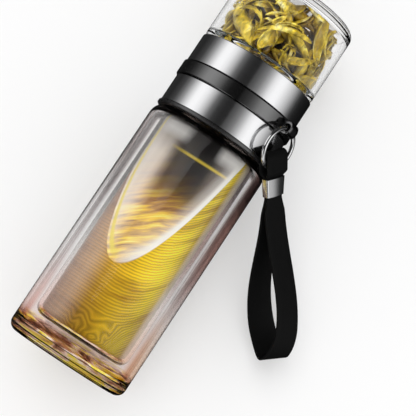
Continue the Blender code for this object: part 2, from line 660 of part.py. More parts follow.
def build():
    clear_scene()
    clear_glass = material("clear_glass", (0.95, 0.97, 0.97), 0.02, alpha=0.35, transmission=1.0)
    steel = material("polished_steel", (0.62, 0.62, 0.63), 0.18, metallic=1.0)
    sheet_steel = material("strainer_steel", (0.58, 0.58, 0.59), 0.30, metallic=1.0)
    chrome = material("chrome", (0.80, 0.80, 0.81), 0.06, metallic=1.0)
    black = material("black_moulding", (0.012, 0.012, 0.013), 0.30)
    band_black = material("band_black", (0.010, 0.010, 0.011), 0.22)
    strap_black = material("strap_black", (0.008, 0.008, 0.008), 0.60)
    silicone = material("silicone", (0.75, 0.76, 0.75), 0.55)

    body = outer_glass(clear_glass)
    parent_to(inner_glass(clear_glass), body)

    gasket = body_gasket(silicone)
    parent_to(gasket, body)
    collar = lower_core(black)
    parent_to(collar, gasket)
    lower = sleeve("lower_sleeve", LOWER_SLEEVE_Z, SLOT_Z, 0, steel)
    parent_to(lower, collar)

    cup = strainer(sheet_steel)
    parent_to(cup, collar)
    parent_to(strainer_seal(silicone), cup)

    band = strap_band(band_black)
    parent_to(band, collar)
    ring = strap_ring(chrome)
    parent_to(ring, band)
    loop = strap(strap_black)
    parent_to(loop, ring)
    parent_to(ferrule(chrome), loop)

    seal = collar_gasket(silicone)
    parent_to(seal, collar)
    cap = upper_core(black)
    parent_to(cap, seal)
    thread_bore = MOUTH_RADIUS + THREAD_GAP
    parent_to(sleeve("upper_sleeve", UPPER_SLEEVE_Z, CHAMBER_Z, thread_bore, steel), cap)
    parent_to(chamber_gasket(silicone), cap)
    parent_to(tea_chamber(clear_glass), cap)


build()
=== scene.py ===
"""The glass tea flask as it lies on a pale table, seen from above: blown double glass with
tea in it, two polished steel collars, a glossy band with its ring and strap, and a glass
chamber full of rolled green leaves."""
import math
import random

import bmesh
import bpy
from mathutils import Matrix, Vector


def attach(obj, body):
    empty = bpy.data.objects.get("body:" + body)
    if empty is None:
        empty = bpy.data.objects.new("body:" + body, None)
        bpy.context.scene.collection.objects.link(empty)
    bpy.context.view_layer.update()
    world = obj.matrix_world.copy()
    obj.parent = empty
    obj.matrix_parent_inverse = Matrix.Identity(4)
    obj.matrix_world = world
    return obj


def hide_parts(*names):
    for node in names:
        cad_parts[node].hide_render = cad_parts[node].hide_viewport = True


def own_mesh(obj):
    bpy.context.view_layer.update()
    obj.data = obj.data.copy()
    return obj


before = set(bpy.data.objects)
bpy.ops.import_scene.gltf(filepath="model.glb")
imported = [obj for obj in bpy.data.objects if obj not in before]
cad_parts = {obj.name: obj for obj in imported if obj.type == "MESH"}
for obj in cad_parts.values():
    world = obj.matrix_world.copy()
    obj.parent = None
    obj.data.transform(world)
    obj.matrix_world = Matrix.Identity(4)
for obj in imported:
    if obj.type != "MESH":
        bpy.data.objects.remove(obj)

MM = 0.001
FULL = 2 * math.pi

# The flask lies on a table. LIE is the way up from the table, across the flask's axis.
LUG_TURN = math.radians(54)
LIE = Vector((math.cos(LUG_TURN), -math.sin(LUG_TURN), 0))
ACROSS = Vector((math.sin(LUG_TURN), math.cos(LUG_TURN), 0))
AXIS = Vector((0, 0, 1))
MIDDLE = Vector((0, 0, 107))
TABLE_DROP, TABLE_REACH = 33.4, 1500

# The camera: the flask's tilt and roll in the picture in degrees, its middle as the camera sees it
# in mm, and the lens in pixels of the picture
TILT, ROLL = 5.60, 33.39
FROM_CAMERA = Vector((-11.86, 13.71, -826.0))
LENS, PICTURE = 1670.6, 416

# All sizes are in mm. Pieces that touch are GAP apart.
GAP = 0.3

# Glass: outer radii, walls, floors and the radii of rounded corners
JACKET, JACKET_WALL, JACKET_FLOOR, JACKET_CORNER, JACKET_INSIDE = 33.0, 2.2, 5.5, 4.8, 3.7
LINER, LINER_WALL, LINER_FLOOR, LINER_FOOT, LINER_CORNER, LINER_INSIDE = 26.5, 2.0, 2.2, 13.0, 5.2, 3.2
SHOULDER, NECK, NECK_TALL, SEAM, RIM_ROUND = 6.5, 29.0, 10.8, 142.8, 0.7
CHAMBER, CHAMBER_WALL, CHAMBER_FOOT, TOP, TOP_THICK = 31.4, 2.6, 173.3, 213.9, 4.0
CHAMBER_BORE, CHAMBER_NECK, CHAMBER_RIM = 26.8, 28.8, 170.3
FOOT_ROUND, TOP_ROUND, TOP_INSIDE = 2.4, 4.2, 2.9

# The tea's open face crosses the axis at TEA_LEVEL, square to TEA_TILT. Its patterns are laid out
# over TEA_SPAN, TEA_RADIUS, TEA_TOP and, on the face, FACE_TOP.
TEA_CLEAR, TEA_TOP, TEA_LEVEL = 0.05, 140, 171.7
TEA_TILT = (AXIS - 1.21 * ACROSS + 4.69 * LIE).normalized()
TEA_SPAN, TEA_RADIUS, FACE_TOP = 50, 25, 150

# Steel sleeves, with the radii of their lower and upper beads, and the glass and moulded threads
SLEEVE, SLEEVE_MOUTH, SLEEVE_WALL, BEAD_LOW, BEAD_HIGH = 31.8, 30.2, 0.5, 0.35, 0.45
THREAD_RISE, THREAD_TURNS, THREAD_STEPS = 0.22, 1.6, 72

# Band and lug: the lug's front, height, back and half width, and its hole, flared to both ends
BAND, BAND_LOW, BAND_TOP, BAND_MID = 32.7, 149.6, 157.3, 153.45
BAND_BORE, BAND_RELIEF, BAND_STEP, BAND_ROUND = 29.7, 30.4, 156.0, 0.6
LUG_X, LUG_FRONT, LUG_TALL, LUG_BACK, LUG_HALF, LUG_HOLE, LUG_FLARE = 37.0, 2.6, 3.7, 5.6, 3.5, 1.5, 0.6
RING, WIRE, RING_Z = 10.55, 1.15, 142.9

# Strap: it leans STRAP_SIDE round the ring and STRAP_OUT from it, and meets the wire at STRAP_PLACE
STRAP_SIDE, STRAP_OUT, STRAP_PLACE, LOOP_TURN = 39, 11.5, 31, 33
STRAP_WIDTH, STRAP_THICK, STRAP_LENGTH, STRAP_WIDEST, STRAP_LOOP = 14.3, 1.2, 98.6, 81.5, 11.2
FOLD_GAP, FOLD_RISE, FOLD_DROP, SQUARED = 1.9, 6.2, 1.0, 2 / 2.1
CLIP_TOP, CLIP_LOW, CLIP_WIDE, CLIP_NARROW = 4.4, 13.6, 13.0, 11.6
CLIP_WALL, CLIP_PLAY, CLIP_CROWN = 0.4, 1.4, 0.45

# Leaves: how many, the length of a whole one, its thickness as a share of its half width, where
# their middles lie, and the room that they are pressed into
LEAF_COUNT, LEAF_LENGTH, LEAF_THICK = 230, 29, 0.14
SPOT_RADIUS, SPOT_LOW, SPOT_HIGH = 26.5, 174.0, 206.5
HEAP_WALL, HEAP_LOW, HEAP_HIGH = 28.2, 173.5, 209.2

# Light: what the camera sees, what lights dull surfaces, and the brightness of the studio round
# the flask's axis, as (half the turn from the table's up direction in degrees, level on screen),
# which is what a polished cylinder mirrors. A colour ramp holds 32 marks at most.
WHITE, SOFT, STEEL_WHITE = 0.955, 0.86, 0.84
STUDIO = [
    (-90, 20), (-76, 42), (-65, 37), (-55, 61), (-50, 99), (-45, 146), (-40, 203), (-35, 245),
    (-30, 249), (-25, 231), (-20, 185), (-15, 100), (-10, 50), (-5, 33), (0.5, 30), (2, 68), (5, 83),
    (10, 117), (15, 170), (20, 228), (25, 248), (30, 245), (35, 220), (40, 190), (45, 148), (49, 98),
    (53, 52), (58, 30), (65, 22), (70, 20), (76, 16), (90, 16)]
# Away from the flask's cross-section the room is dark, with one white card past its foot
ROOM = [(0.0, 1.0), (0.14, 1.0), (0.20, 0.06), (0.28, 0.06), (0.34, 1.0), (0.66, 1.0), (0.76, 0.05),
        (1.0, 0.05)]


# -------- mesh helpers
def show(name, data):
    """Put a mesh, a camera or a lamp into the scene."""
    made = bpy.data.objects.new(name, data)
    bpy.context.scene.collection.objects.link(made)
    return made


def new_piece(name, verts, faces, look, body, smooth=35.0):
    """A finished mesh in the flask's own frame that rides on a body."""
    mesh = bpy.data.meshes.new(name)
    mesh.from_pydata([Vector(v) * MM for v in verts], [], faces)
    mesh.materials.append(look)
    tidy = bmesh.new()
    tidy.from_mesh(mesh)
    bmesh.ops.recalc_face_normals(tidy, faces=tidy.faces)
    tidy.to_mesh(mesh)
    tidy.free()
    mesh.shade_smooth()
    mesh.set_sharp_from_angle(angle=math.radians(smooth))
    made = show(name, mesh)
    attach(made, body)
    return made


def arc(cx, cz, radius, start, end, steps=8, tall=None):
    """Points of part of a circle, or of an ellipse with its own height, in degrees."""
    turns = [math.radians(start + (end - start) * i / steps) for i in range(steps + 1)]
    return [(cx + radius * math.cos(t), cz + (tall or radius) * math.sin(t)) for t in turns]


def lathe(profile, steps=128):
    """Vertices and faces of a closed profile turned round the axis."""
    verts, rows = [], []
    for r, z in profile:
        if r < 1e-6:
            rows.append([len(verts)])
            verts.append((0, 0, z))
            continue
        rows.append(list(range(len(verts), len(verts) + steps)))
        for k in range(steps):
            t = FULL * k / steps
            verts.append((r * math.cos(t), r * math.sin(t), z))
    faces = []
    for low, high in zip(rows, rows[1:] + rows[:1]):
        for k in range(steps):
            n = (k + 1) % steps
            ring = [low[k % len(low)], low[n % len(low)], high[n % len(high)], high[k % len(high)]]
            ring = list(dict.fromkeys(ring))
            if len(ring) > 2:
                faces.append(ring)
    return verts, faces


def rows_of(count, size):
    """Vertex numbers of loops that were made one after another."""
    return [list(range(size * i, size * (i + 1))) for i in range(count)]


def skin(loops, closed=True):
    """Four-sided faces between each loop of vertices and the next."""
    faces = []
    for one, other in zip(loops, loops[1:] + loops[:1] if closed else loops[1:]):
        for k in range(len(one)):
            n = (k + 1) % len(one)
            faces.append((one[k], one[n], other[n], other[k]))
    return faces


def ease(low, high, value):
    """0 at low, 1 at high, and smooth between them."""
    value = min(max((value - low) / (high - low), 0.0), 1.0)
    return value * value * (3 - 2 * value)


def mixed(one, other, share):
    return tuple(a + (b - a) * share for a, b in zip(one, other))


# -------- material helpers
class Nodes:
    """Short ways to make and wire the nodes of a tree."""

    def __init__(self, tree):
        self.tree = tree

    def put(self, kind, **values):
        node = self.tree.nodes.new(kind)
        for key, value in values.items():
            setattr(node, key, value)
        return node

    def join(self, source, target):
        self.tree.links.new(source, target)

    def feed(self, sockets, values):
        """Give each socket a number, a colour or another node's output."""
        for socket, value in zip(sockets, values):
            if isinstance(value, (int, float)):
                socket.default_value = value
            elif isinstance(value, tuple):
                socket.default_value = (*value, 1.0)
            else:
                self.join(value, socket)

    def math(self, kind, *values):
        node = self.put("ShaderNodeMath", operation=kind)
        self.feed(node.inputs, values)
        return node.outputs["Value"]

    def times(self, one, other):
        return self.math("MULTIPLY", one, other)

    def plus(self, one, other):
        return self.math("ADD", one, other)

    def ramp(self, value, stops):
        """A level or a colour for each stop, blended evenly between the stops."""
        node = self.put("ShaderNodeValToRGB")
        marks = node.color_ramp.elements
        while len(marks) < len(stops):
            marks.new(0.5)
        for mark, (at, colour) in zip(marks, stops):
            mark.position = at
            colour = (colour,) * 3 if isinstance(colour, (int, float)) else colour
            mark.color = (*colour, 1.0)
        self.join(value, node.inputs["Fac"])
        return node.outputs["Color"]

    def cover(self, below, above, share, blend="MIX"):
        """Lay one colour over another."""
        node = self.put("ShaderNodeMix", data_type="RGBA", blend_type=blend)
        self.feed((node.inputs[0], node.inputs[6], node.inputs[7]), (share, below, above))
        return node.outputs[2]

    def tint(self, below, above, share=1.0):
        """Colour one with another, as a clear ink does."""
        return self.cover(below, above, share, "MULTIPLY")

    def swap(self, share, one, other):
        """One shader, or the other by the share."""
        node = self.put("ShaderNodeMixShader")
        self.feed(node.inputs, (share, one, other))
        return node.outputs[0]

    def vector(self, x, y, z=0.0):
        node = self.put("ShaderNodeCombineXYZ")
        self.feed(node.inputs, (x, y, z))
        return node.outputs[0]

    def split(self, vector):
        node = self.put("ShaderNodeSeparateXYZ")
        self.join(vector, node.inputs[0])
        return tuple(node.outputs)

    def length(self, vector):
        node = self.put("ShaderNodeVectorMath", operation="LENGTH")
        self.join(vector, node.inputs[0])
        return node.outputs["Value"]


class Look(Nodes):
    """A material and its main shader."""

    def __init__(self, name, **values):
        self.material = bpy.data.materials.new(name)
        self.material.use_nodes = True
        super().__init__(self.material.node_tree)
        self.shader = self.tree.nodes["Principled BSDF"]
        self.set(**values)

    def set(self, **values):
        self.feed([self.shader.inputs[key.replace("_", " ")] for key in values], values.values())

    def surface(self, shader):
        self.join(shader, self.tree.nodes["Material Output"].inputs["Surface"])

    def place(self, scale=(1, 1, 1), turn=(0, 0, 0)):
        """Object coordinates, scaled and turned."""
        mapping = self.put("ShaderNodeMapping")
        mapping.inputs["Scale"].default_value = scale
        mapping.inputs["Rotation"].default_value = turn
        self.join(self.put("ShaderNodeTexCoord").outputs["Object"], mapping.inputs["Vector"])
        return mapping.outputs["Vector"]

    def noise(self, vector, scale, detail=3.0, rough=0.5, distortion=0.0):
        node = self.put("ShaderNodeTexNoise")
        self.feed([node.inputs[key] for key in ("Vector", "Scale", "Detail", "Roughness", "Distortion")],
                  (vector, scale, detail, rough, distortion))
        return node.outputs["Fac"]

    def bump(self, height, strength, distance):
        node = self.put("ShaderNodeBump")
        self.feed([node.inputs[key] for key in ("Height", "Strength", "Distance")],
                  (height, strength, distance))
        self.join(node.outputs["Normal"], self.shader.inputs["Normal"])


# -------- finishes
def glass_look(name, tint, mirror):
    """Clear blown glass with faint waves, which lets the lamps through."""
    look = Look(name, Base_Color=tint, Roughness=0.0, Transmission_Weight=1.0, IOR=1.47,
                Specular_Tint=(mirror,) * 3)
    look.bump(look.noise(look.place(scale=(30, 30, 6)), 1.0, 2.0, 0.4), 0.05, 0.0006)
    lamps = look.put("ShaderNodeLightPath").outputs["Is Shadow Ray"]
    clear = look.put("ShaderNodeBsdfTransparent").outputs[0]
    look.surface(look.swap(lamps, look.shader.outputs[0], clear))
    return look


def jacket_look():
    """The outer glass: its tint and streaks are painted reflections and painted shade, and its thick
    foot has painted reflections of the tea above it, amber and dark patches with white glints."""
    look = glass_look("jacket_clear", (1, 1, 1), 0.22)
    tint, streaks = (look.put("ShaderNodeAttribute", attribute_name=name).outputs["Color"]
                     for name in ("tint", "streaks"))
    # The wall shows its painted reflection streaks, and darkens to a painted dark outline, where the eye
    # meets it at a slant
    weight = look.put("ShaderNodeLayerWeight")
    weight.inputs["Blend"].default_value = 0.5
    slant = weight.outputs["Facing"]
    # In metres: times 8 it spans the wall, and times 50 the foot's lowest 20 mm
    height = look.split(look.place())[2]
    body = look.tint(tint, streaks, look.ramp(slant, [(0.05, 0.0), (0.18, 1.0)]))
    line = look.times(look.ramp(slant, [(0.80, 0.0), (0.88, 1.0)]),
                      look.ramp(look.times(height, 8), [(0.10, 0.45), (0.85, 0.9)]))
    body = look.cover(body, (0.015, 0.006, 0.005), line)
    # Painted reflections of the tea in the foot: amber, dark and white glints
    low = look.ramp(look.times(height, 50), [(0.44, 1.0), (0.66, 0.0)])
    patch = look.noise(look.place(scale=(58, 58, 330)), 1.0, 4.0, 0.6, 0.7)
    amber = look.ramp(patch, [
        (0.33, (0.05, 0.015, 0.006)), (0.41, (0.34, 0.15, 0.08)), (0.46, (0.80, 0.55, 0.44)),
        (0.495, (1.0, 0.97, 0.94)), (0.53, (1.0, 0.95, 0.78)), (0.56, (1.0, 0.88, 0.03)),
        (0.64, (1.0, 0.82, 0.03)), (0.68, (0.40, 0.18, 0.05))])
    look.set(Base_Color=look.tint(body, amber, low))
    return look


def steel_look(name, colour):
    """Drawn steel, polished round the axis, with faint turned scratches."""
    look = Look(name, Base_Color=colour, Metallic=1.0)
    lines = look.noise(look.place(scale=(18, 18, 2600)), 1.0, 4.0, 0.6)
    look.set(Roughness=look.ramp(lines, [(0.3, 0.09), (0.7, 0.15)]))
    look.bump(lines, 0.05, 0.00002)
    return look


def pierced_steel_look():
    """The strainer's steel, duller than the sleeves'."""
    look = Look("strainer_steel", Base_Color=(0.70, 0.70, 0.71), Metallic=1.0)
    lines = look.noise(look.place(scale=(60, 60, 60)), 12.0, 4.0, 0.6)
    look.set(Roughness=look.ramp(lines, [(0.3, 0.22), (0.7, 0.36)]))
    look.bump(lines, 0.05, 0.00003)
    return look


def plastic_look(name, colour, roughness, ior, mirror):
    """Black moulded plastic with a very fine grain."""
    look = Look(name, Base_Color=colour, IOR=ior, Specular_IOR_Level=mirror)
    grain = look.noise(look.place(), 900.0, 3.0, 0.6)
    look.set(Roughness=look.ramp(grain, [(0.3, roughness * 0.85), (0.7, roughness * 1.2)]))
    look.bump(grain, 0.04, 0.00003)
    return look


def strap_look():
    """Dull black strap with a fine grain."""
    look = Look("strap_black", Specular_IOR_Level=0.16)
    grain = look.noise(look.place(), 1700.0, 4.0, 0.65)
    look.set(Base_Color=look.ramp(grain, [(0.3, 0.002), (0.7, 0.006)]),
             Roughness=look.ramp(grain, [(0.3, 0.55), (0.7, 0.72)]))
    look.bump(grain, 0.25, 0.00006)
    return look


def silicone_look():
    """Slightly cloudy silicone."""
    look = Look("silicone", Roughness=0.5, Subsurface_Weight=0.2)
    cloud = look.noise(look.place(), 240.0, 3.0, 0.5)
    look.set(Base_Color=look.ramp(cloud, [(0.3, (0.56, 0.57, 0.56)), (0.7, (0.68, 0.69, 0.68))]))
    return look


def lying_place(look):
    """Across the lying flask, away from its top side, and along its axis."""
    return look.split(look.place(scale=(1000, 1000, 1000), turn=(0, 0, LUG_TURN - math.pi / 2)))


def span_share(look, value):
    """0 to 1 from one side of the tea to the other."""
    return look.plus(look.times(value, 1 / TEA_SPAN), 0.5)


def tea_side_look():
    """Tea against the glass: painted shading from brown to bright gold, with painted refraction lines, fine
    and curved like wood grain.
    """
    look = Look("tea_side", Roughness=0.5, Specular_IOR_Level=0.2)
    u, v, z = lying_place(look)
    across, height = span_share(look, u), look.times(z, 1 / TEA_TOP)
    tone = look.ramp(across, [
        (0.02, (0.20, 0.075, 0.030)), (0.16, (0.44, 0.23, 0.070)), (0.34, (0.50, 0.29, 0.030)),
        (0.52, (0.70, 0.45, 0.012)), (0.70, (0.97, 0.72, 0.018)), (0.84, (1.0, 0.84, 0.035)),
        (0.97, (0.60, 0.38, 0.03))])
    # The painted brown shading of the left side and the painted white sheens belong to the lying
    # flask's top side: round the back the tea is gold
    top = look.ramp(span_share(look, v), [(0.34, 1.0), (0.52, 0.0)])
    tone = look.cover((0.90, 0.66, 0.030), tone, top)
    tone = look.tint(tone, look.ramp(height, [(0.10, 0.50), (0.22, 0.72), (0.40, 1.0), (0.95, 1.0)]))
    # Painted refraction lines that run across the flask, bent up along its right wall and curled near the
    # foot
    right = look.times(look.ramp(across, [
        (0.50, 0.0), (0.60, 0.02), (0.68, 0.07), (0.76, 0.17), (0.83, 0.32), (0.90, 0.54), (0.95, 0.75),
        (1.0, 1.0)]), -22)
    foot = look.times(look.ramp(height, [(0.13, 1.0), (0.21, 0.05)]),
                      look.ramp(across, [(0.30, 0.25), (0.50, 1.0), (0.72, 1.0), (0.85, 0.1)]))
    curl = look.times(look.noise(look.place(scale=(75, 75, 75)), 1.0, 1.0, 0.5, 0.4), foot)
    bent = look.plus(look.plus(z, right), look.times(curl, 20))
    along = look.vector(look.times(u, 0.22), 0.0, bent)
    wave = look.put("ShaderNodeTexWave", wave_type="BANDS", bands_direction="Z", wave_profile="SIN")
    look.feed([wave.inputs[key] for key in (
        "Vector", "Scale", "Distortion", "Detail", "Detail Scale", "Detail Roughness")],
        (along, 0.20, 2.4, 2.0, 0.7, 0.6))
    lines = look.ramp(wave.outputs["Fac"], [(0.0, 0.72), (0.3, 0.92), (0.6, 1.04), (1.0, 1.28)])
    patch = look.ramp(look.noise(along, 0.16, 3.0, 0.5), [
        (0.30, (0.62, 0.46, 0.34)), (0.45, (0.94, 0.88, 0.78)), (0.60, (1.12, 1.08, 1.0))])
    colour = look.tint(look.tint(tone, lines), patch)
    # A soft white sheen down its left third, as on the wall of the inner glass
    sheen = look.ramp(across, [(0.04, 0.10), (0.12, 0.42), (0.20, 0.46), (0.30, 0.12), (0.36, 0.0)])
    colour = look.cover(colour, (0.80, 0.66, 0.56), look.times(sheen, look.times(top, 0.75)))
    # A narrow white one along its right edge
    edge = look.ramp(across, [(0.90, 0.0), (0.93, 0.55), (0.955, 0.8), (0.970, 0.05)])
    look.set(Base_Color=look.cover(colour, (1.0, 0.96, 0.88), look.times(top, edge)))
    return look


def tea_surface_look():
    """The open face of the tea: fine wavy painted refraction streaks, painted shade under the collar, a
    painted pale highlight along the wall.
    """
    look = Look("tea_surface", Roughness=0.4, Specular_IOR_Level=0.3)
    u, v, z = lying_place(look)
    across, height = span_share(look, u), look.times(z, 1 / FACE_TOP)
    # Painted refraction streaks that lean across the face, sway, and bow up at its right
    lean = math.radians(41)
    along = look.plus(look.times(u, math.cos(lean)), look.times(z, math.sin(lean)))
    up = look.plus(look.times(u, -math.sin(lean)), look.times(z, math.cos(lean)))
    bow = look.times(look.ramp(across, [(0.55, 0.0), (0.8, 0.3), (1.0, 1.0)]), 8)
    sway = look.times(look.noise(look.place(scale=(30, 30, 30)), 1.0, 2.0, 0.5), 9.0)
    streak = look.noise(look.vector(look.times(along, 0.10), 0.0, look.plus(look.plus(up, bow), sway)),
                        0.42, 5.0, 0.62, 0.2)
    colour = look.ramp(streak, [
        (0.28, (0.20, 0.085, 0.04)), (0.38, (0.42, 0.21, 0.08)), (0.46, (0.68, 0.40, 0.12)),
        (0.53, (0.95, 0.62, 0.08)), (0.60, (1.0, 0.82, 0.13)), (0.70, (1.0, 0.92, 0.42))])
    # Higher up the face is in the collar's dark: brown first, then nearly black
    slope = look.times(look.plus(z, look.times(u, -0.25)), 1 / FACE_TOP)
    colour = look.tint(colour, look.ramp(slope, [
        (0.54, (1, 1, 1)), (0.62, (0.78, 0.66, 0.54)), (0.69, (0.40, 0.31, 0.25)),
        (0.78, (0.14, 0.12, 0.12)), (0.88, (0.03, 0.025, 0.025))]))
    out = look.times(look.length(look.vector(u, v)), 1 / TEA_RADIUS)
    for tone, way, stops, sides in (
            # A pale sheen on its left third, and a grey one at the right under the collar
            ((0.98, 0.90, 0.84), height, [(0.40, 0.45), (0.55, 0.85), (0.74, 0.9), (0.84, 0.3)],
             [(0.06, 0.85), (0.18, 0.75), (0.27, 0.25), (0.34, 0.0)]),
            ((0.30, 0.26, 0.26), height, [(0.60, 0.0), (0.68, 1.0), (0.78, 1.0)],
             [(0.56, 0.0), (0.70, 0.7), (0.95, 0.8)]),
            # Painted shade: a black wedge hangs from the collar; a painted pale reflection follows the neck
            # on each side of it
            ((0.004, 0.002, 0.002), height, [(0.57, 0.0), (0.66, 0.80), (0.74, 1.0)],
             [(0.22, 0.0), (0.32, 0.84), (0.44, 0.92), (0.46, 1.0), (0.64, 1.0), (0.76, 0.35), (0.95, 0.1)]),
            ((1.0, 0.99, 0.98), height, [(0.80, 0.0), (0.835, 1.0), (0.87, 1.0), (0.895, 0.2)],
             [(0.04, 0.7), (0.12, 1.0), (0.26, 0.9), (0.36, 0.0), (0.62, 0.0), (0.70, 0.9), (0.95, 1.0)]),
            # A fine gold line under the collar
            ((0.95, 0.72, 0.06), height, [(0.774, 0.0), (0.779, 0.85), (0.782, 0.85), (0.787, 0.0)],
             [(0.20, 0.0), (0.40, 0.8), (1.0, 1.0)]),
            # A painted white highlight along the edge against the wall, and a fine gold line down its left
            # side
            ((1.0, 0.99, 0.95), out, [(0.76, 0.0), (0.88, 0.35), (0.93, 0.95), (0.970, 1.0), (0.978, 0.0)],
             [(0.05, 0.35), (0.35, 0.10), (0.5, 0.8), (0.62, 1.0)]),
            ((0.90, 0.74, 0.12), out, [(0.925, 0.0), (0.94, 1.0), (0.955, 1.0), (0.968, 0.0)],
             [(0.30, 0.85), (0.40, 0.0)])):
        colour = look.cover(colour, tone, look.times(look.ramp(way, stops), look.ramp(across, sides)))
    look.set(Base_Color=colour)
    look.bump(streak, 0.2, 0.0004)
    return look


def leaf_look():
    """Rolled green tea: yellow-green in a random tone with darker veins, its pale patches painted highlights.
    """
    look = Look("tea_leaf", Roughness=0.30, Specular_IOR_Level=0.6)
    colour = look.ramp(look.noise(look.place(), 120.0, 2.0, 0.5), [
        (0.28, (0.12, 0.085, 0.008)), (0.40, (0.42, 0.30, 0.014)), (0.52, (0.74, 0.54, 0.022)),
        (0.60, (0.95, 0.78, 0.10)), (0.68, (0.98, 0.90, 0.42))])
    vein = look.noise(look.place(scale=(1, 1, 0.35)), 520.0, 3.0, 0.55, 0.4)
    colour = look.tint(colour, look.ramp(vein, [(0.38, 0.58), (0.58, 1.15)]))
    # Painted shade: the heap is darker towards its middle, and a little lighter at the wall
    deep = look.ramp(look.length(look.place(scale=(33, 33, 0))), [
        (0.55, (0.16, 0.10, 0.05)), (0.72, (0.45, 0.36, 0.24)), (0.84, (0.95, 0.93, 0.88)),
        (0.93, (1.08, 1.07, 1.05))])
    look.set(Base_Color=look.tint(colour, deep))
    look.bump(vein, 0.3, 0.0003)
    return look


# -------- glass and tea
def glass_pieces(jacket_glass, liner_glass, chamber_glass):
    """The jacket, the liner in it, and the chamber on top."""
    shoulder = SEAM - NECK_TALL - SHOULDER
    inside = JACKET - JACKET_WALL
    jacket = [(0, 0)]
    jacket += arc(JACKET - JACKET_CORNER, JACKET_CORNER, JACKET_CORNER, -90, 0)
    jacket += [(JACKET, z) for z in range(8, 125, 4)]
    jacket += arc(NECK, shoulder, JACKET - NECK, 0, 90, tall=SHOULDER)
    jacket += [(NECK, SEAM), (LINER + GAP, SEAM)]
    jacket += arc(LINER + GAP, shoulder, inside - LINER - GAP, 90, 0, tall=SHOULDER - JACKET_WALL)
    jacket += [(inside, z) for z in range(122, 10, -4)]
    jacket += arc(inside - JACKET_INSIDE, JACKET_FLOOR + JACKET_INSIDE, JACKET_INSIDE, 0, -90)
    jacket += [(0, JACKET_FLOOR)]
    made = new_piece("jacket_glass", *lathe(jacket, 192), jacket_glass, "glass_body")
    paint_glass(made, "tint", jacket_reflection_and_shade)
    paint_glass(made, "streaks", jacket_streaks)
    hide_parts("outer_glass")

    inside = LINER - LINER_WALL
    floor = LINER_FOOT + LINER_FLOOR
    liner = [(0, LINER_FOOT)]
    liner += arc(LINER - LINER_CORNER, LINER_FOOT + LINER_CORNER, LINER_CORNER, -90, 0)
    liner += [(LINER, SEAM + GAP), (NECK, SEAM + GAP)]
    liner += arc(NECK - RIM_ROUND, SEAM + 1.5, RIM_ROUND, 0, 90, 4)
    liner += arc(inside + RIM_ROUND, SEAM + 1.5, RIM_ROUND, 90, 180, 4)
    liner += arc(inside - LINER_INSIDE, floor + LINER_INSIDE, LINER_INSIDE, 0, -90)
    liner += [(0, floor)]
    made = new_piece("liner_glass", *lathe(liner), liner_glass, "glass_body")
    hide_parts("inner_glass")

    inside = CHAMBER - CHAMBER_WALL
    cup = [(CHAMBER_BORE, CHAMBER_RIM), (CHAMBER_NECK, CHAMBER_RIM), (CHAMBER_NECK, CHAMBER_FOOT)]
    cup += arc(CHAMBER - FOOT_ROUND, CHAMBER_FOOT + FOOT_ROUND, FOOT_ROUND, -90, 0)
    cup += arc(CHAMBER - TOP_ROUND, TOP - TOP_ROUND, TOP_ROUND, 0, 90)
    cup += [(0, TOP), (0, TOP - TOP_THICK)]
    cup += arc(inside - TOP_INSIDE, TOP - TOP_THICK - TOP_INSIDE, TOP_INSIDE, 90, 0)
    cup += arc(inside - 2.0, CHAMBER_FOOT + 4.6, 2.0, 0, -90)
    made = new_piece("chamber_glass", *lathe(cup), chamber_glass, "tea_lid")
    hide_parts("tea_chamber")


def paint_glass(made, name, colour):
    """Write painted reflections and shade as a colour on each vertex of a glass piece, from its turn
    round the axis and its height.

    The turn is counted from the lying flask's top side, in degrees, + to the lug's side."""
    mesh = made.data
    layer = mesh.color_attributes.new(name, "FLOAT_COLOR", "POINT")
    for i, v in enumerate(mesh.vertices):
        turn = math.degrees(math.atan2(v.co.y, v.co.x)) + math.degrees(LUG_TURN)
        turn = (turn + 180) % 360 - 180
        layer.data[i].color = (*colour(turn, v.co.z / MM), 1.0)


def jacket_reflection_and_shade(turn, z):
    """Painted all round: a rose reflection near the foot, and painted shade under the collar."""
    clear, rose, shade = (1.0, 0.99, 0.985), (0.86, 0.64, 0.60), (0.05, 0.025, 0.02)
    return mixed(mixed(clear, rose, 0.30 * ease(60, 5, z)), shade, 0.95 * ease(126.5, 131, z))


def jacket_streaks(turn, z):
    """Painted reflections: long brown streaks down both sides of the lying flask, black ones near the
    collar, amber at the foot on the lug's side. On the lug's side the black under the collar is
    painted shade as well.
    """
    rose, amber, rust_brown_reflection = (0.88, 0.70, 0.66), (0.93, 0.66, 0.40), (0.45, 0.15, 0.08)
    tobacco, black = (0.20, 0.09, 0.07), (0.008, 0.004, 0.004)
    side = abs(turn)
    edge = ease(52, 60, side) * (1 - ease(100, 115, side))
    tint = mixed((1.0, 1.0, 1.0), rose, edge * ease(50, 4, z))
    wave = math.sin(side * 1.25 + 0.9 * math.sin(side * 0.31) + 0.035 * z)
    streak = ease(0.1, 0.9, wave + 0.5 * math.sin(side * 2.9 - 0.05 * z))
    if turn > 0:
        tint = mixed(tint, amber, 0.6 * edge * ease(60, 8, z))
        tint = mixed(tint, tobacco, edge * streak * (0.30 + 0.65 * ease(20, 95, z)))
        tint = mixed(tint, (0.30, 0.12, 0.09), edge * ease(60, 68, side) * ease(25, 85, z) * 0.85)
        # Painted reflection and shade: nearly black under the collar on the lug's side
        return mixed(tint, black, edge * ease(60, 72, side) * ease(88, 118, z) * 0.97)
    curve = 64 + 9 * ease(70, 122, z)
    tint = mixed(tint, black, 0.95 * math.exp(-((side - curve) / 3.2) ** 2) * ease(68, 108, z))
    tint = mixed(tint, (0.30, 0.16, 0.14), 0.55 * edge * streak * ease(10, 40, z))
    tint = mixed(tint, tobacco, 0.45 * edge * streak * ease(60, 105, z))
    tint = mixed(tint, black, edge * ease(78, 83, side) * ease(20, 100, z) * 0.9)
    # A rust-brown painted reflection of the tea at the foot, on the side away from the lug
    return mixed(tint, rust_brown_reflection, edge * ease(56, 70, side) * ease(17, 6, z) * 0.8)


